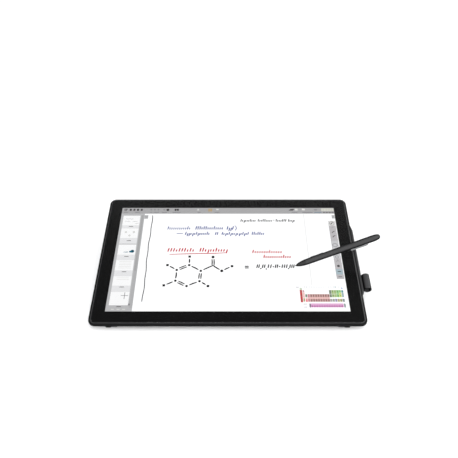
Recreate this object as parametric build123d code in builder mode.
from build123d import *
from math import sin, cos, tan, radians, degrees, atan2, hypot, sqrt
import os

# Pen display of the 24 inch class: a laminated glass front in a thin frame, a tapered
# rear shell, a side control pod with a pen loop, a folding tilt stand and a cordless pen.
# Row frame: +X to the user's right, +Y away from the user, +Z up, origin on the
# resting surface straight below the centre of the active screen area. Millimetres.

os.makedirs("parts", exist_ok=True)

# ---------------------------------------------------------------- driving dimensions
TILT = 18.0                        # screen angle to the table in the stored pose
TILT_MAX = 72.0                    # steepest working angle
ACTIVE_W, ACTIVE_H = 527.04, 296.46
OUT_W, OUT_H, OUT_R = 592.8, 359.1, 15.0
CY = -2.25                         # the frame's centre lies this far below the active centre
GLASS_W, GLASS_H, GLASS_R, GLASS_T = 581.0, 347.3, 9.1, 1.8
FRAME_BOT = -6.5                   # underside of the front frame
BACK = -41.0                       # rearmost plane of the rear shell
WALL = 2.5
DEEP_X = 235.5                     # half width of the deep rear body at its mouth
BAND_Y = -178.9                    # front lower edge of the deep rear body
HINGE_Y, HINGE_Z = -169.0, -14.0   # tilt axis in the display's own frame
LUG_R, PIN_R = 6.8, 3.0
PIVOT_Y, PIVOT_Z = -42.0, -50.0    # strut pivot on the back, in the display's own frame
AXIS_H = 11.0                      # tilt axis above the table
VESA_Y = 14.0                      # centre of the 100 x 100 pattern
PEN_L = 199.0
HOUSING_SCREWS = ((-205, -74), (205, -74), (-205, 99), (205, 99), (-48, 100), (48, 100), (-70, -76), (70, -76))

T = radians(TILT)
ZD = AXIS_H - HINGE_Y * sin(T) - HINGE_Z * cos(T)
DISP = Plane(origin=(0, 0, ZD), x_dir=(1, 0, 0), z_dir=(0, -sin(T), cos(T)))


def D(x, y, z, rx=0.0, ry=0.0, rz=0.0):
    """A location given in the display's own frame."""
    return DISP.location * Location((x, y, z), (rx, ry, rz))


def dpt(x, y, z):
    """A point of the display's own frame, in the row frame."""
    return Vector(x, y * cos(T) - z * sin(T), ZD + y * sin(T) + z * cos(T))


def ddir(x, y, z):
    return Vector(x, y * cos(T) - z * sin(T), y * sin(T) + z * cos(T))


# plane with local x = display +Y, local y = display +Z, normal = +X, at a given X
def side(x):
    return Plane(origin=dpt(x, 0, 0), x_dir=ddir(0, 1, 0), z_dir=(1, 0, 0))


# plane with local x = row +Y, local y = row +Z, normal = +X
def wside(x):
    return Plane(origin=(x, 0, 0), x_dir=(0, 1, 0), z_dir=(1, 0, 0))


def save(p, name):
    p.part.label = name
    export_step(p.part, f"parts/{name}.step")


O = dpt(0, HINGE_Y, HINGE_Z)
YO, ZO = O.Y, O.Z
P = dpt(0, PIVOT_Y, PIVOT_Z)
ARM = hypot(P.Y - YO, P.Z - ZO)            # the strut is as long as axis to pivot
PHI = atan2(P.Z - ZO, P.Y - YO)
FOOT_Y = YO + 2 * ARM * cos(PHI)           # strut foot on its track, at the axis height
print("axis", YO, ZO, "pivot", P.Y, P.Z, "arm", ARM, "phi", degrees(PHI), "foot", FOOT_Y, "ZD", ZD)

# ================================================================ front of the display
with BuildPart() as cover_glass:
    with BuildSketch(DISP.offset(-GLASS_T)):
        with Locations((0, CY)):
            RectangleRounded(GLASS_W, GLASS_H, GLASS_R)
    extrude(amount=GLASS_T)
    chamfer(cover_glass.faces().sort_by(Axis(O, ddir(0, 0, 1)))[-1].edges(), 0.35)
save(cover_glass, "cover_glass")

with BuildPart() as bezel_mask:
    with BuildSketch(DISP.offset(-GLASS_T - 0.19)):
        with Locations((0, CY)):
            RectangleRounded(GLASS_W - 0.8, GLASS_H - 0.8, GLASS_R - 0.4)
        Rectangle(ACTIVE_W + 0.4, ACTIVE_H + 0.4, mode=Mode.SUBTRACT)
    extrude(amount=0.14)
save(bezel_mask, "bezel_mask")

with BuildPart() as front_frame:
    with BuildSketch(DISP.offset(FRAME_BOT)):
        with Locations((0, CY)):
            RectangleRounded(OUT_W, OUT_H, OUT_R)
    extrude(amount=3.9)
    with BuildSketch(DISP.offset(-2.6)):
        with Locations((0, CY)):
            RectangleRounded(OUT_W, OUT_H, OUT_R)
    with BuildSketch(DISP.offset(-0.62)):
        with Locations((0, CY)):
            RectangleRounded(OUT_W - 8.2, OUT_H - 8.2, OUT_R - 4.1)
    loft(ruled=True)
    with BuildSketch(DISP.offset(-0.62)):
        with Locations((0, CY)):
            RectangleRounded(OUT_W - 8.2, OUT_H - 8.2, OUT_R - 4.1)
    with BuildSketch(DISP.offset(-0.25)):
        with Locations((0, CY)):
            RectangleRounded(OUT_W - 11.2, OUT_H - 11.2, OUT_R - 5.6)
    loft(ruled=True)
    # glass pocket, screen opening and the hollow behind the ledge
    with BuildSketch(DISP.offset(-GLASS_T - 0.2)):
        with Locations((0, CY)):
            RectangleRounded(GLASS_W + 0.4, GLASS_H + 0.4, GLASS_R + 0.2)
    extrude(amount=3.0, mode=Mode.SUBTRACT)
    with BuildSketch(DISP.offset(FRAME_BOT - 0.5)):
        with Locations((0, CY)):
            RectangleRounded(548.0, 322.0, 3.0)
    extrude(amount=6.0, mode=Mode.SUBTRACT)
    with BuildSketch(DISP.offset(FRAME_BOT - 0.5)):
        with Locations((0, CY)):
            RectangleRounded(OUT_W - 7.0, OUT_H - 7.0, OUT_R - 3.5)
    extrude(amount=3.6, mode=Mode.SUBTRACT)
save(front_frame, "front_frame")

# ================================================================ display stack
with BuildPart() as lcd_panel:
    with BuildSketch(DISP.offset(-3.22)):
        RectangleRounded(538.0, 306.0, 1.0)
    extrude(amount=1.2)
save(lcd_panel, "lcd_panel")

with BuildPart() as backlight_unit:
    with BuildSketch(DISP.offset(-8.2)):
        RectangleRounded(536.0, 304.0, 1.0)
    extrude(amount=4.9)
    with Locations(D(0, -153.0, -6.2)):        # light bar along the lower edge
        Box(500.0, 2.0, 3.0)
save(backlight_unit, "backlight_unit")

with BuildPart() as lcd_chassis:
    with BuildSketch(DISP.offset(-9.2)):
        RectangleRounded(542.0, 310.0, 2.0)
    extrude(amount=6.2)
    with BuildSketch(DISP.offset(-8.3)):
        RectangleRounded(540.4, 308.4, 1.5)
    extrude(amount=6.0, mode=Mode.SUBTRACT)
save(lcd_chassis, "lcd_chassis")

with BuildPart() as emr_sensor_board:
    with BuildSketch(DISP.offset(-10.25)):
        RectangleRounded(536.0, 305.0, 3.0)
        with Locations((-240, 149), (240, 149), (-240, -149), (240, -149)):
            Circle(1.8, mode=Mode.SUBTRACT)
    extrude(amount=1.0)
    with Locations(D(-180, 120, -11.05)):
        Box(60, 18, 1.6)
save(emr_sensor_board, "emr_sensor_board")

with BuildPart() as sensor_shield:
    with BuildSketch(DISP.offset(-11.1)):
        with Locations((0, -2)):
            RectangleRounded(440.0, 276.0, 5.0)
        with Locations((-180, 120)):
            Rectangle(64, 40, mode=Mode.SUBTRACT)
    extrude(amount=0.8)
save(sensor_shield, "sensor_shield")

with BuildPart() as main_chassis:
    with BuildSketch(DISP.offset(-13.15)):
        with Locations((0, -4)):
            RectangleRounded(440.0, 280.0, 8.0)
        with Locations((0, 84), (0, -90), (-150, -50), (150, -50)):
            SlotOverall(90, 30, mode=Mode.SUBTRACT)
        with Locations((-180, 120)):
            Rectangle(68, 26, mode=Mode.SUBTRACT)
    extrude(amount=2.0)
    # hollow posts that carry the 100 x 100 screws
    with BuildSketch(DISP.offset(-38.4)):
        with Locations((0, VESA_Y)):
            with GridLocations(100, 100, 2, 2):
                Circle(7.0)
        with Locations(*HOUSING_SCREWS):
            Circle(4.0)
    extrude(amount=25.3)
    with BuildSketch(DISP.offset(-38.5)):
        with Locations((0, VESA_Y)):
            with GridLocations(100, 100, 2, 2):
                Circle(2.05)
        with Locations(*HOUSING_SCREWS):
            Circle(1.6)
    extrude(amount=14.0, mode=Mode.SUBTRACT)
    # stiffening ribs
    for yy in (-120.0, -28.0, 62.0):
        with Locations(D(0, yy, -14.65)):
            Box(400, 4, 3)
save(main_chassis, "main_chassis")

# ================================================================ electronics
with BuildPart() as main_board:
    with BuildSketch(DISP.offset(-21.8)):
        with Locations((132.5, 99)):
            RectangleRounded(125, 52, 2)
    extrude(amount=1.6)
    for bx, by, bw, bh, bt in ((116, 105, 26, 26, 2.6), (157, 104, 16, 16, 2.0), (181, 112, 12, 14, 2.4),
                               (84, 110, 10, 14, 4.0), (143, 119, 20, 6, 2.0), (182, 97, 9, 9, 5.0)):
        with Locations(D(bx, by, -21.8 - bt / 2)):
            Box(bw, bh, bt)
    for sx, sy in ((75, 78), (190, 78), (75, 120), (190, 120)):     # stand-offs
        with Locations(D(sx, sy, -16.7)):
            Cylinder(2.6, 7.0)
save(main_board, "main_board")

with BuildPart() as driver_board:
    with BuildSketch(DISP.offset(-21.8)):
        with Locations((-120, 100)):
            RectangleRounded(120, 50, 2)
    extrude(amount=1.6)
    for bx, by, bw, bh, bt in ((-160, 108, 18, 18, 7), (-135, 90, 14, 22, 9), (-105, 104, 22, 14, 5), (-80, 112, 8, 8, 6)):
        with Locations(D(bx, by, -21.8 - bt / 2)):
            Box(bw, bh, bt)
    for sx, sy in ((-172, 80), (-68, 80), (-172, 120), (-68, 120)):
        with Locations(D(sx, sy, -16.7)):
            Cylinder(2.6, 7.0)
save(driver_board, "driver_board")

# sockets stand on the board and open into the port bay, mouths facing down the back
BAY_X0, BAY_X1, BAY_Y0, BAY_Y1, BAY_Z = 78.0, 194.0, -15.0, 70.0, -24.0
PORTS = ((91.0, 16.0, 6.5), (113.0, 18.0, 6.5), (137.0, 12.5, 11.0), (156.0, 9.5, 8.0))
POWER_IN = 178.0
with BuildPart() as io_sockets:
    for px, pw, ph in PORTS:
        with Locations(D(px, 78.0, -30.0)):
            Box(pw, 20.0, ph)
        with Locations(D(px, 73.0, -30.0)):
            Box(pw - 1.6, 14.0, ph - 1.6, mode=Mode.SUBTRACT)
        with Locations(D(px, 75.0, -30.0)):
            Box(pw - 5.0, 11.0, 1.4 if ph < 10 else 5.0)
        with Locations(D(px, 84.2, (-21.85 - 30.0) / 2)):
            Box(pw - 2.0, 7.6, 8.15)
    with Locations(D(POWER_IN, 78.0, -30.0)):
        Box(13.0, 20.0, 11.0)
    with Locations(D(POWER_IN, 71.0, -30.0, 90, 0, 0)):
        Cylinder(3.6, 14.0, mode=Mode.SUBTRACT)
    with Locations(D(POWER_IN, 73.0, -30.0, 90, 0, 0)):
        Cylinder(0.9, 12.0)
    with Locations(D(POWER_IN, 84.0, (-21.85 - 30.0) / 2)):
        Box(11.0, 8.0, 8.15)
save(io_sockets, "io_sockets")


# ================================================================ rear shell
def shell_outer():
    with BuildPart() as b:
        with BuildSketch(DISP.offset(-8.0)):
            with Locations((0, CY)):
                RectangleRounded(OUT_W - 1.8, OUT_H - 1.8, OUT_R - 0.9)
        extrude(amount=1.45)
        with BuildSketch(DISP.offset(-8.0)):
            with Locations((0, CY)):
                RectangleRounded(OUT_W - 1.8, OUT_H - 1.8, OUT_R - 0.9)
        with BuildSketch(DISP.offset(-15.5)):
            with Locations((0, CY)):
                RectangleRounded(534.0, 308.0, 10.0)
        loft(ruled=True)
        # front band, thicker between the hinges and running out towards the corners
        with BuildSketch(Plane(origin=dpt(0, BAND_Y, 0), x_dir=(1, 0, 0), z_dir=ddir(0, -1, 0))):
            with BuildLine():
                Polyline((-286, -6.75), (286, -6.75), (268, -11), (-268, -11), close=True)
            make_face()
        extrude(amount=-24.0)
        # deep rear body
        dy = (-BACK - 11.0) / tan(T)
        with BuildSketch(DISP.offset(-6.75)):
            with Locations((0, (BAND_Y + 150.0) / 2)):
                RectangleRounded(2 * DEEP_X, 150.0 - BAND_Y, 1.2)
        extrude(amount=-4.25)
        with BuildSketch(DISP.offset(-11.0)):
            with Locations((0, (BAND_Y + 150.0) / 2)):
                RectangleRounded(2 * DEEP_X, 150.0 - BAND_Y, 1.2)
        with BuildSketch(DISP.offset(BACK)):
            with Locations((0, (BAND_Y + dy + 112.0) / 2)):
                RectangleRounded(430.0, 112.0 - BAND_Y - dy, 14.0)
        loft(ruled=True)
    return b.part


def shell_inner():
    with BuildPart() as b:
        with BuildSketch(DISP.offset(-6.0)):
            with Locations((0, CY)):
                RectangleRounded(OUT_W - 7.0, OUT_H - 7.0, OUT_R - 3.5)
        extrude(amount=-2.0)
        with BuildSketch(DISP.offset(-8.0)):
            with Locations((0, CY)):
                RectangleRounded(OUT_W - 7.0, OUT_H - 7.0, OUT_R - 3.5)
        with BuildSketch(DISP.offset(-12.6)):
            with Locations((0, CY)):
                RectangleRounded(548.0, 312.0, 8.0)
        loft(ruled=True)
        # the corners round the hinges stay solid
        for s in (-1, 1):
            with Locations(D(s * 262.0, -170.0, -9.0)):
                Box(58.0, 29.0, 20.0, mode=Mode.SUBTRACT)
        dy = (-BACK - 11.0) / tan(T)
        with BuildSketch(DISP.offset(-6.0)):
            with Locations((0, (BAND_Y + WALL + 147.5) / 2)):
                RectangleRounded(2 * DEEP_X - 2 * WALL, 147.5 - BAND_Y - WALL, 1.0)
        extrude(amount=-4.6)
        with BuildSketch(DISP.offset(-10.6)):
            with Locations((0, (BAND_Y + WALL + 147.5) / 2)):
                RectangleRounded(2 * DEEP_X - 2 * WALL, 147.5 - BAND_Y - WALL, 1.0)
        with BuildSketch(DISP.offset(BACK + WALL)):
            with Locations((0, (BAND_Y + dy + 3.2 + 108.0) / 2)):
                RectangleRounded(422.0, 108.0 - BAND_Y - dy - 3.2, 12.0)
        loft(ruled=True)
        # walls of the port bay
        with Locations(D((BAY_X0 + BAY_X1) / 2, (BAY_Y0 + BAY_Y1) / 2, (BACK + BAY_Z + WALL) / 2)):
            Box(BAY_X1 - BAY_X0 + 2 * WALL, BAY_Y1 - BAY_Y0 + 2 * WALL, BAY_Z + WALL - BACK, mode=Mode.SUBTRACT)
    return b.part


with BuildPart() as rear_housing:
    add(shell_outer())
    add(shell_inner(), mode=Mode.SUBTRACT)
    # hinge notches at the two front corners
    for s in (-1, 1):
        with Locations(D(s * 250.55, -171.0, -16.0)):
            Box(30.1, 26.0, 19.2, mode=Mode.SUBTRACT)
    # port bay with an opening for each socket
    with Locations(D((BAY_X0 + BAY_X1) / 2, (BAY_Y0 + BAY_Y1) / 2, (BACK + BAY_Z) / 2 - 0.5)):
        Box(BAY_X1 - BAY_X0, BAY_Y1 - BAY_Y0, BAY_Z - BACK + 1.0, mode=Mode.SUBTRACT)
    for px, pw, ph in PORTS:
        with Locations(D(px, BAY_Y1 + 1.0, -30.0)):
            Box(pw + 0.6, 4.0, ph + 0.6, mode=Mode.SUBTRACT)
    with Locations(D(POWER_IN, BAY_Y1 + 1.0, -30.0)):
        Box(13.6, 4.0, 11.6, mode=Mode.SUBTRACT)
    # cooling slots along the upper rim of the back
    with BuildSketch(DISP.offset(BACK - 1.0)):
        for i in range(26):
            with Locations((-190.0 + 9.0 * i, 84.0)):
                SlotOverall(20.0, 2.6, rotation=90)
        for i in range(26):
            with Locations((-190.0 + 9.0 * i, -58.0)):
                if abs(-190.0 + 9.0 * i) > 118:
                    SlotOverall(18.0, 2.6, rotation=90)
        # lock slot
        with Locations((-196.0, 30.0)):
            RectangleRounded(7.4, 3.4, 1.0)
        # screw holes
        with Locations(*[(x, y) for x, y in HOUSING_SCREWS]):
            Circle(1.7)
        with Locations((0, VESA_Y)):
            with GridLocations(100, 100, 2, 2):
                Circle(2.4)
    extrude(amount=5.0, mode=Mode.SUBTRACT)
    # lipped guides that the port cover slides in
    for gx, d in ((BAY_X0 - 5.0, 1), (BAY_X1 + 5.0, -1)):
        with Locations(D(gx, 27.0, BACK - 1.8)):
            Box(1.2, 92.0, 3.6)
        with Locations(D(gx + d * 1.0, 27.0, BACK - 3.2)):
            Box(2.0, 92.0, 0.8)
save(rear_housing, "rear_housing")

with BuildPart() as housing_screws:
    for sx, sy in HOUSING_SCREWS:
        with Locations(D(sx, sy, BACK - 0.85)):
            Cylinder(3.0, 1.5)
        with Locations(D(sx, sy, BACK + 4.0)):
            Cylinder(1.5, 8.4)
        with Locations(D(sx, sy, BACK - 1.6)):
            Box(3.6, 0.7, 1.2, mode=Mode.SUBTRACT)
            Box(0.7, 3.6, 1.2, mode=Mode.SUBTRACT)
save(housing_screws, "housing_screws")

with BuildPart() as port_cover:
    with BuildSketch(DISP.offset(BACK - 2.55)):
        with Locations(((BAY_X0 + BAY_X1) / 2, 27.5)):
            RectangleRounded(BAY_X1 - BAY_X0 + 8.4, 96.0, 3.0)
        with Locations(((BAY_X0 + BAY_X1) / 2 + 22, -20.5)):
            RectangleRounded(46.0, 20.0, 4.0, mode=Mode.SUBTRACT)
    extrude(amount=2.5)
    # grip ridges across the lower part of the cover
    for i in range(5):
        with Locations(D(112.0, -12.0 + 4.0 * i, BACK - 2.9)):
            Box(38.0, 1.4, 0.8)
save(port_cover, "port_cover")

# ================================================================ side control pod
POD_X = 301.85
POD_TOP = -6.95
BUTTONS = {"menu_button": 44.0, "up_button": 33.0, "down_button": 22.0, "enter_button": 11.0}
POWER_Y, LED_Y = 62.0, 53.5
USB_Y = (-8.0, -28.0)
BTN_Z = -14.4


with BuildPart() as control_pod:
    with BuildSketch(Plane(origin=dpt(0, 101.0, 0), x_dir=(1, 0, 0), z_dir=ddir(0, -1, 0))):
        with BuildLine():
            Polyline((295.65, POD_TOP), (POD_X, POD_TOP), (POD_X, -20.5), (297.5, -24.5), (276.0, -24.5), (269.5, -15.05),
                     (295.65, -8.12), close=True)
        make_face()
    extrude(amount=201.5)
    # hollow, and open where it lies against the tray of the rear shell
    with BuildSketch(Plane(origin=dpt(0, 72.0, 0), x_dir=(1, 0, 0), z_dir=ddir(0, -1, 0))):
        with BuildLine():
            Polyline((290.0, -8.75), (POD_X - 1.8, -8.75), (POD_X - 1.8, -20.0), (296.8, -22.7), (276.9, -22.7), (273.2, -17.3),
                     (273.2, -12.0), close=True)
        make_face()
    extrude(amount=166.0, mode=Mode.SUBTRACT)
    # the upper and lower ends slope into the frame's edge
    with BuildSketch(DISP.offset(-30.0)):
        with BuildLine():
            Polyline((310, 62), (310, 118), (240, 118), (292.0, 101.0), (296.6, 101.0), (POD_X, 80.0), (POD_X, 62), close=True)
        make_face()
        with BuildLine():
            Polyline((310, -92), (POD_X, -97.0), (296.7, -100.5), (240, -100.5), (240, -110), (310, -110), close=True)
        make_face()
    extrude(amount=30.0, mode=Mode.SUBTRACT)
    # button, lamp and socket openings in the outer face
    with Locations(D(POD_X - 1.0, POWER_Y, BTN_Z, 0, 90, 0)):
        Cylinder(3.75, 6.0, mode=Mode.SUBTRACT)
    with Locations(D(POD_X - 1.0, LED_Y, BTN_Z, 0, 90, 0)):
        Cylinder(1.05, 6.0, mode=Mode.SUBTRACT)
    for by in BUTTONS.values():
        with Locations(D(POD_X, by, BTN_Z)):
            Box(6.0, 7.5, 5.1, mode=Mode.SUBTRACT)
    for uy in USB_Y:
        with Locations(D(POD_X - 1.0, uy, BTN_Z)):
            Box(6.0, 15.0, 7.4, mode=Mode.SUBTRACT)
    # threaded holes for the pen loop
    with Locations(D(POD_X - 1.0, -57.0, -13.4, 0, 90, 0), D(POD_X - 1.0, -78.5, -13.4, 0, 90, 0)):
        Cylinder(1.55, 8.0, mode=Mode.SUBTRACT)
save(control_pod, "control_pod")

with BuildPart() as power_button:
    with Locations(D(POD_X - 0.9, POWER_Y, BTN_Z, 0, 90, 0)):
        Cylinder(3.5, 3.4)
    fillet(power_button.edges().filter_by(GeomType.CIRCLE).sort_by(Axis.X)[-1], 0.6)
    with Locations(D(POD_X - 2.25, POWER_Y, BTN_Z, 0, 90, 0)):
        Cylinder(4.6, 0.8)
save(power_button, "power_button")

for bname, by in BUTTONS.items():
    with BuildPart() as osd_button:
        with Locations(D(POD_X - 0.9, by, BTN_Z)):
            Box(3.4, 7.0, 4.6)
        fillet(osd_button.edges().group_by(Axis.X)[-1], 0.5)
        with Locations(D(POD_X - 2.25, by, BTN_Z)):
            Box(0.8, 8.6, 6.4)
    save(osd_button, bname)

with BuildPart() as status_lamp:
    with Locations(D(POD_X - 1.9, LED_Y, BTN_Z, 0, 90, 0)):
        Cylinder(0.95, 4.0)
save(status_lamp, "status_lamp")

with BuildPart() as usb_sockets:
    for uy in USB_Y:
        with Locations(D(POD_X - 5.6, uy, BTN_Z)):
            Box(10.0, 14.4, 6.8)
        with Locations(D(POD_X - 4.1, uy, BTN_Z)):
            Box(9.0, 13.2, 5.6, mode=Mode.SUBTRACT)
        with Locations(D(POD_X - 5.4, uy, BTN_Z + 1.0)):
            Box(9.0, 11.4, 1.9)
save(usb_sockets, "usb_sockets")

with BuildPart() as button_board:
    with Locations(D(POD_X - 5.5, 36.0, BTN_Z)):
        Box(1.2, 66.0, 8.4)
    for by in list(BUTTONS.values()) + [POWER_Y]:
        with Locations(D(POD_X - 4.1, by, BTN_Z)):
            Box(1.6, 3.4, 3.4)
save(button_board, "button_board")

# ================================================================ pen loop on the pod
LOOP_X, LOOP_Z, LOOP_R, LOOP_BORE = 311.1, -9.0, 9.0, 7.75
LOOP_Y0, LOOP_Y1 = -90.1, -50.3
with BuildPart() as pen_loop:
    with BuildSketch(Plane(origin=dpt(LOOP_X, LOOP_Y0, LOOP_Z), x_dir=(1, 0, 0), z_dir=ddir(0, 1, 0))):
        Circle(LOOP_R)
    extrude(amount=LOOP_Y1 - LOOP_Y0)
    fillet(pen_loop.edges().filter_by(GeomType.CIRCLE), 1.2)
    # foot that the two screws pull against the pod
    with Locations(D(POD_X + 1.95, (LOOP_Y0 + LOOP_Y1) / 2, -13.2)):
        Box(3.8, 34.4, 8.6)
    with Locations(D(POD_X + 3.9, (LOOP_Y0 + LOOP_Y1) / 2, -12.0)):
        Box(3.4, 29.0, 6.4)
    with BuildSketch(Plane(origin=dpt(LOOP_X, LOOP_Y0 - 1, LOOP_Z), x_dir=(1, 0, 0), z_dir=ddir(0, 1, 0))):
        Circle(LOOP_BORE)
    extrude(amount=LOOP_Y1 - LOOP_Y0 + 2, mode=Mode.SUBTRACT)
    with Locations(D(302.5, -57.0, -13.4, 0, 90, 0), D(302.5, -78.5, -13.4, 0, 90, 0)):
        Cylinder(1.5, 3.6, mode=Mode.SUBTRACT)
save(pen_loop, "pen_loop")

with BuildPart() as loop_screws:
    for sy in (-57.0, -78.5):
        with Locations(D(POD_X + 0.2, sy, -13.4, 0, 90, 0)):
            Cylinder(1.45, 4.2)
        with Locations(D(POD_X - 2.65, sy, -13.4, 0, 90, 0)):
            Cylinder(2.6, 1.6)
save(loop_screws, "loop_screws")

# ================================================================ tilt hinge on the display
with BuildPart() as hinge_blocks:
    for s in (-1, 1):
        with BuildSketch(side(s * 240.9 - 5.35)):
            with Locations((HINGE_Y, HINGE_Z)):
                Circle(6.0)
            with Locations(((BAND_Y - 158.4) / 2, -11.0)):
                RectangleRounded(-158.4 - BAND_Y, 8.9, 0.8)
        extrude(amount=10.7)
        with Locations(D(s * 241.0, HINGE_Y, HINGE_Z, 0, 90, 0)):
            Cylinder(PIN_R, 12.0, mode=Mode.SUBTRACT)
save(hinge_blocks, "hinge_blocks")

with BuildPart() as hinge_pins:
    for s in (-1, 1):
        with Locations(D(s * 250.3, HINGE_Y, HINGE_Z, 0, 90, 0)):
            Cylinder(PIN_R, 27.6)
save(hinge_pins, "hinge_pins")

# ================================================================ stand plate on the back
EAR_X = 95.5
with BuildPart() as stand_plate:
    with BuildSketch(DISP.offset(BACK - 3.1)):
        with Locations((0, -42.0)):
            RectangleRounded(224.0, 36.0, 6.0)
        with Locations((0, 22.0)):
            RectangleRounded(128.0, 110.0, 8.0)
        with Locations((0, VESA_Y)):
            with GridLocations(100, 100, 2, 2):
                Circle(2.3, mode=Mode.SUBTRACT)
        with Locations((0, 30)):
            SlotOverall(56, 18, rotation=90, mode=Mode.SUBTRACT)
    extrude(amount=3.0)
    for s in (-1, 1):
        with BuildSketch(side(s * EAR_X - 3.4)):
            with Locations((PIVOT_Y, PIVOT_Z)):
                Circle(5.2)
            with BuildLine():
                Polyline((PIVOT_Y - 5.2, PIVOT_Z), (PIVOT_Y + 5.2, PIVOT_Z), (PIVOT_Y + 9, BACK - 2.6), (PIVOT_Y - 9, BACK - 2.6), close=True)
            make_face()
            with Locations((PIVOT_Y, PIVOT_Z)):
                Circle(PIN_R, mode=Mode.SUBTRACT)
        extrude(amount=6.8)
    # pressed ribs
    for rx in (-40, 40):
        with Locations(D(rx, 20.0, BACK - 3.7)):
            Box(3.0, 60.0, 1.2)
save(stand_plate, "stand_plate")

with BuildPart() as vesa_screws:
    with Locations(D(0, VESA_Y, 0)):
        with GridLocations(100, 100, 2, 2):
            with Locations((0, 0, BACK - 4.1)):
                Cylinder(4.0, 1.9)
            with Locations((0, 0, BACK + 2.5)):
                Cylinder(1.95, 11.4)
            with Locations((0, 0, BACK - 4.7)):
                Box(5.0, 0.9, 1.2, mode=Mode.SUBTRACT)
                Box(0.9, 5.0, 1.2, mode=Mode.SUBTRACT)
save(vesa_screws, "vesa_screws")

with BuildPart() as pivot_rod:
    with Locations(D(0, PIVOT_Y, PIVOT_Z, 0, 90, 0)):
        Cylinder(PIN_R, 231.0)
save(pivot_rod, "pivot_rod")

# ================================================================ strut
PROP = Plane(origin=(0, P.Y, P.Z), x_dir=(1, 0, 0), z_dir=(0, sin(PHI), cos(PHI)))


def S(x, y, z, rx=0.0, ry=0.0, rz=0.0):
    """A location in the strut's own frame: local y runs from the pivot to the foot."""
    return PROP.location * Location((x, y, z), (rx, ry, rz))


def sdir(x, y, z):
    return Vector(x, y * cos(PHI) + z * sin(PHI), -y * sin(PHI) + z * cos(PHI))


def spt(x, y, z):
    return Vector(0, P.Y, P.Z) + sdir(x, y, z)


with BuildPart() as strut_panel:
    with BuildSketch(PROP.offset(-1.0)):
        with Locations((0, 70.0)):
            RectangleRounded(228.0, 108.0, 3.0)
    extrude(amount=2.2)
    with BuildSketch(PROP.offset(0.5)):
        with Locations((-60, 58), (0, 58), (60, 58)):
            SlotOverall(48, 26)
    extrude(amount=1.0, mode=Mode.SUBTRACT)
    for s in (-1, 1):
        sp = Plane(origin=spt(s * 107.2 - 6.7, 0, 0), x_dir=sdir(0, 1, 0), z_dir=(1, 0, 0))
        with BuildSketch(sp):
            with Locations((0, 0), (ARM, 0)):
                Circle(5.2)
            with BuildLine():
                Polyline((0, -4.2), (ARM, -4.2), (ARM, 4.2), (0, 4.2), close=True)
            make_face()
        extrude(amount=13.4)
        # channel between the two flanges of each side
        with Locations(S(s * 107.2, 68.0, 4.3)):
            Box(8.4, 100.0, 5.0, mode=Mode.SUBTRACT)
        with Locations(S(s * 107.2, 0, 0, 0, 90, 0)):
            Cylinder(PIN_R + 0.07, 20.0, mode=Mode.SUBTRACT)
        with Locations(S(s * 107.2, ARM, 0, 0, 90, 0)):
            Cylinder(PIN_R, 20.0, mode=Mode.SUBTRACT)
    # ears of the release lever
    for s in (-1, 1):
        with Locations(S(s * 35.0, 112.0, 3.7)):
            Box(3.0, 9.0, 5.2)
    with Locations(S(0, 112.0, 4.2, 0, 90, 0)):
        Cylinder(1.5, 80.0, mode=Mode.SUBTRACT)
save(strut_panel, "strut_panel")

with BuildPart() as foot_axle:
    with Locations(S(0, ARM, 0, 0, 90, 0)):
        Cylinder(PIN_R, 259.0)
save(foot_axle, "foot_axle")

with BuildPart() as foot_sleeves:
    for s in (-1, 1):
        with Locations(S(s * 123.5, ARM, 0, 0, 90, 0)):
            Cylinder(3.7, 11.0)
            Cylinder(PIN_R, 12.0, mode=Mode.SUBTRACT)
save(foot_sleeves, "foot_sleeves")

with BuildPart() as lever_pin:
    with Locations(S(0, 112.0, 4.2, 0, 90, 0)):
        Cylinder(1.5, 73.0)
save(lever_pin, "lever_pin")

with BuildPart() as tilt_lever:
    lv = Plane(origin=spt(-32.0, 0, 0), x_dir=sdir(0, 1, 0), z_dir=(1, 0, 0))
    with BuildSketch(lv):
        with BuildLine():
            Polyline((106.0, 3.2), (124.0, 3.6), (136.0, 3.6), (138.5, 14.0), (136.6, 14.4), (134.4, 5.6), (124.0, 5.6), (115.0, 6.6), (109.0, 6.6), (106.0, 5.2), close=True)
        make_face()
    extrude(amount=64.0)
    with Locations(S(0, 112.0, 4.2, 0, 90, 0)):
        Cylinder(1.56, 80.0, mode=Mode.SUBTRACT)
save(tilt_lever, "tilt_lever")

# ================================================================ base on the table
RAIL_X, RAIL_W = 256.0, 17.0
TRACK_X, TRACK_W = 123.5, 12.0
for s, name in ((-1, "base_rail_left"), (1, "base_rail_right")):
    with BuildPart() as base_rail:
        with BuildSketch(wside(s * RAIL_X - RAIL_W / 2)):
            with Locations((YO, ZO)):
                Circle(LUG_R)
        extrude(amount=RAIL_W)
        fillet(base_rail.edges().filter_by(GeomType.CIRCLE), 1.6)
        with BuildSketch(wside(s * RAIL_X - RAIL_W / 2)):
            with BuildLine():
                Polyline((YO + 1.0, 3.0), (YO + 3.0, 2.0), (YO + 292.0, 2.0), (YO + 292.0, 6.0), (YO + 14.0, 6.0), (YO + 5.0, ZO + 1.5), (YO + 1.0, ZO), close=True)
            make_face()
        extrude(amount=RAIL_W)
        with Locations(Location((s * RAIL_X, YO, ZO), (0, 90, 0))):
            Cylinder(PIN_R + 0.06, 40.0, mode=Mode.SUBTRACT)
    save(base_rail, name)

with BuildPart() as base_front_bar:
    with BuildSketch(Plane.XY.offset(2.0)):
        with Locations((0, YO + 24.0)):
            RectangleRounded(494.9, 26.0, 1.0)
    extrude(amount=3.0)
    with Locations((-TRACK_X, YO + 26.0, 3.0), (TRACK_X, YO + 26.0, 3.0)):
        Cylinder(1.5, 8.0, mode=Mode.SUBTRACT)
save(base_front_bar, "base_front_bar")

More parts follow.
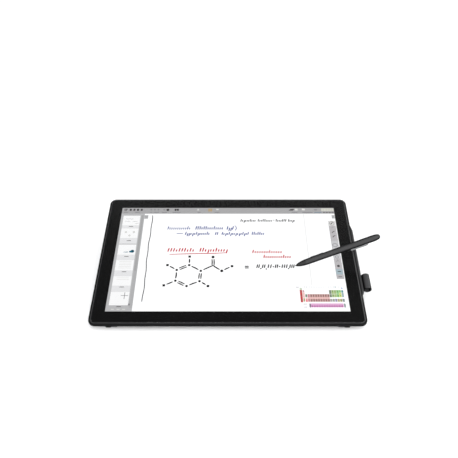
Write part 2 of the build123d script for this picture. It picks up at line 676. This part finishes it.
with BuildPart() as base_rear_bar:
    with BuildSketch(Plane.XY.offset(2.0)):
        with Locations((0, YO + 281.0)):
            RectangleRounded(494.9, 20.0, 1.0)
    extrude(amount=3.0)
    with Locations((-TRACK_X, YO + 285.5, 3.0), (TRACK_X, YO + 285.5, 3.0)):
        Cylinder(1.5, 8.0, mode=Mode.SUBTRACT)
save(base_rear_bar, "base_rear_bar")

# cross bar under the middle of the screen, welded between the tracks
with BuildPart() as base_middle_bar:
    with BuildSketch(Plane.XY.offset(2.0)):
        RectangleRounded(2 * TRACK_X - TRACK_W - 0.1, 24.0, 1.0)
    extrude(amount=3.0)
    with BuildSketch(Plane.XY.offset(4.0)):
        with Locations((-60, 0), (60, 0)):
            SlotOverall(76, 10)
    extrude(amount=2.0, mode=Mode.SUBTRACT)
save(base_middle_bar, "base_middle_bar")

for s, name in ((-1, "track_left"), (1, "track_right")):
    with BuildPart() as track:
        with BuildSketch(wside(s * TRACK_X - TRACK_W / 2)):
            with BuildLine():
                Polyline((YO + 14, 5.05), (YO + 37.5, 5.05), (YO + 37.5, 2.0), (YO + 270.6, 2.0), (YO + 270.6, 5.05), (YO + 290, 5.05),
                         (YO + 290, 9.0), (YO + 281, 9.0), (YO + 276, ZO + 7.5), (YO + 140, ZO + 7.5), (YO + 124, 6.8), (YO + 14, 6.8), close=True)
            make_face()
            with BuildLine():
                Polyline((YO + 139.5, ZO - 4.0), (YO + 269.0, ZO - 4.0), (YO + 269.0, ZO + 4.0), (YO + 139.5, ZO + 4.0), close=True)
            make_face(mode=Mode.SUBTRACT)
            # notches that the foot drops into
            for k in range(10):
                with Locations((YO + 145.5 + 13.0 * k, ZO - 2.3)):
                    Circle(3.8, mode=Mode.SUBTRACT)
        extrude(amount=TRACK_W)
        with Locations((s * TRACK_X, YO + 26.0, 6.0), (s * TRACK_X, YO + 285.5, 6.0)):
            Cylinder(1.5, 12.0, mode=Mode.SUBTRACT)
    save(track, name)

with BuildPart() as track_screws:
    for s in (-1, 1):
        for yy, top in ((26.0, 6.85), (285.5, 9.05)):
            with Locations((s * TRACK_X, YO + yy, top + 0.7)):
                Cylinder(2.7, 1.4)
            with Locations((s * TRACK_X, YO + yy, (top + 2.4) / 2)):
                Cylinder(1.45, top - 2.4)
            with Locations((s * TRACK_X, YO + yy, top + 1.4)):
                Box(3.4, 0.7, 1.0, mode=Mode.SUBTRACT)
                Box(0.7, 3.4, 1.0, mode=Mode.SUBTRACT)
save(track_screws, "track_screws")

with BuildPart() as base_feet:
    with BuildSketch(Plane.XY):
        with Locations((-RAIL_X, YO + 4.5), (RAIL_X, YO + 4.5)):
            RectangleRounded(13.0, 16.0, 3.0)
        with Locations((-RAIL_X, YO + 276.0), (RAIL_X, YO + 276.0)):
            RectangleRounded(13.0, 26.0, 3.0)
        with Locations((-TRACK_X, YO + 281.0), (TRACK_X, YO + 281.0)):
            RectangleRounded(26.0, 13.0, 3.0)
        RectangleRounded(44.0, 16.0, 3.0)
    extrude(amount=2.0)
    chamfer(base_feet.faces().sort_by(Axis.Z)[:7].edges(), 0.5)
save(base_feet, "base_feet")

# ================================================================ pen
TIP_X, TIP_Y = 153.75, -30.75
U = Vector(0.90277231, 0.10871481, 0.41615292).normalized()      # pen axis, display frame
CLIP = Vector(0.2, -0.9, -0.35)
CLIP = (CLIP - U * CLIP.dot(U)).normalized()
NIB_R = 0.8
tip = Vector(TIP_X, TIP_Y, NIB_R + 0.04) - U * NIB_R
PEN = Plane(origin=dpt(tip.X, tip.Y, tip.Z), x_dir=ddir(CLIP.X, CLIP.Y, CLIP.Z), z_dir=ddir(U.X, U.Y, U.Z))
PEN_SIDE = Plane(origin=PEN.origin, x_dir=PEN.x_dir, z_dir=PEN.x_dir.cross(PEN.z_dir))
PEN_AXIS = Axis(PEN.origin, PEN.z_dir)
print("pen axis row", PEN.z_dir, "clip", PEN.x_dir, "tip", PEN.origin)


def N(x, y, z, rx=0.0, ry=0.0, rz=0.0):
    """A location in the pen's own frame: local z runs from the nib to the cap."""
    return PEN.location * Location((x, y, z), (rx, ry, rz))


with BuildPart() as pen_nib:
    with BuildSketch(PEN_SIDE):
        with BuildLine():
            l1 = ThreePointArc((0, 0), (NIB_R * 0.7071, NIB_R * 0.2929), (NIB_R, NIB_R))
            l2 = Polyline((NIB_R, NIB_R), (NIB_R, 16.0), (0, 16.0), (0, 0))
        make_face()
    revolve(axis=PEN_AXIS, revolution_arc=360)
save(pen_nib, "pen_nib")

with BuildPart() as pen_tip_cone:
    with BuildSketch(PEN_SIDE):
        with BuildLine():
            c1 = Spline((1.35, 2.3), (2.55, 4.7), (4.1, 8.8), (5.3, 13.7), (6.3, 20.0), (6.8, 27.0))
            c2 = Polyline((6.8, 27.0), (3.6, 27.0), (3.6, 20.6), (0.9, 6.0), (0.9, 2.3), (1.35, 2.3))
        make_face()
    revolve(axis=PEN_AXIS, revolution_arc=360)
save(pen_tip_cone, "pen_tip_cone")

with BuildPart() as pen_barrel_front:
    with BuildSketch(PEN_SIDE):
        with BuildLine():
            b1 = Spline((6.8, 27.2), (6.95, 37.0), (6.98, 54.0), (7.02, 84.0), (7.05, 101.0))
            b2 = Polyline((7.05, 101.0), (5.4, 101.0), (5.4, 31.0), (4.4, 27.2), (6.8, 27.2))
        make_face()
    revolve(axis=PEN_AXIS, revolution_arc=360)
    # window of the side switch, on the side away from the clip
    with Locations(N(-6.2, 0, 55.0)):
        Box(4.8, 5.4, 31.4, mode=Mode.SUBTRACT)
save(pen_barrel_front, "pen_barrel_front")

with BuildPart() as pen_barrel_rear:
    with BuildSketch(PEN_SIDE):
        with BuildLine():
            r1 = Spline((7.05, 101.25), (7.1, 118.0), (7.22, 148.0), (7.33, 168.0), (7.35, 181.0))
            r2 = Polyline((7.35, 181.0), (5.1, 181.0), (5.1, 101.25), (7.05, 101.25))
        make_face()
    revolve(axis=PEN_AXIS, revolution_arc=360)
    with Locations(N(6.0, 0, 164.5)):
        Box(3.2, 3.6, 5.4, mode=Mode.SUBTRACT)
save(pen_barrel_rear, "pen_barrel_rear")

with BuildPart() as pen_end_cap:
    with BuildSketch(PEN_SIDE):
        with BuildLine():
            e1 = Spline((7.35, 181.2), (7.15, 187.3), (6.4, 192.2), (5.15, 195.9), (3.0, 198.3), (0, PEN_L), tangents=((0, 1), (-1, 0)))
            e2 = Polyline((0, PEN_L), (0, 175.0), (5.0, 175.0), (5.0, 181.2), (7.35, 181.2))
        make_face()
    revolve(axis=PEN_AXIS, revolution_arc=360)
save(pen_end_cap, "pen_end_cap")

with BuildPart() as pen_clip:
    with BuildSketch(PEN_SIDE):
        with BuildLine():
            Polyline((7.4, 130.6), (8.9, 129.6), (10.1, 131.6), (10.0, 136.0), (10.2, 158.0), (10.0, 167.6), (9.2, 169.2),
                     (7.5, 169.2), (7.5, 166.9), (5.5, 166.9), (5.5, 162.1), (7.5, 162.1), (7.75, 158.0), (7.68, 136.0), close=True)
        make_face()
    extrude(amount=1.75, both=True)
save(pen_clip, "pen_clip")

with BuildPart() as pen_side_switch:
    with BuildSketch(PEN_SIDE):
        with BuildLine():
            Polyline((-5.8, 40.0), (-7.2, 40.0), (-7.65, 42.0), (-7.35, 53.4), (-7.05, 55.0), (-7.35, 56.6), (-7.65, 68.0), (-7.2, 70.0),
                     (-5.8, 70.0), close=True)
        make_face()
    extrude(amount=2.4, both=True)
save(pen_side_switch, "pen_side_switch")

with BuildPart() as pen_coil:
    with Locations(N(0, 0, 29.0)):
        Cylinder(2.8, 13.0)
        Cylinder(0.95, 14.0, mode=Mode.SUBTRACT)
        Cylinder(3.3, 7.0)
        Cylinder(0.95, 8.0, mode=Mode.SUBTRACT)
save(pen_coil, "pen_coil")

with BuildPart() as pen_board:
    with Locations(N(0, 0, 82.0)):
        Box(1.0, 7.0, 88.0)
    with Locations(N(1.2, 0, 66.0), N(1.2, 0, 92.0)):
        Box(1.4, 4.4, 9.0)
    with Locations(N(-1.1, 0, 48.0), N(-1.1, 0, 62.0)):
        Box(1.2, 3.6, 3.4)
save(pen_board, "pen_board")
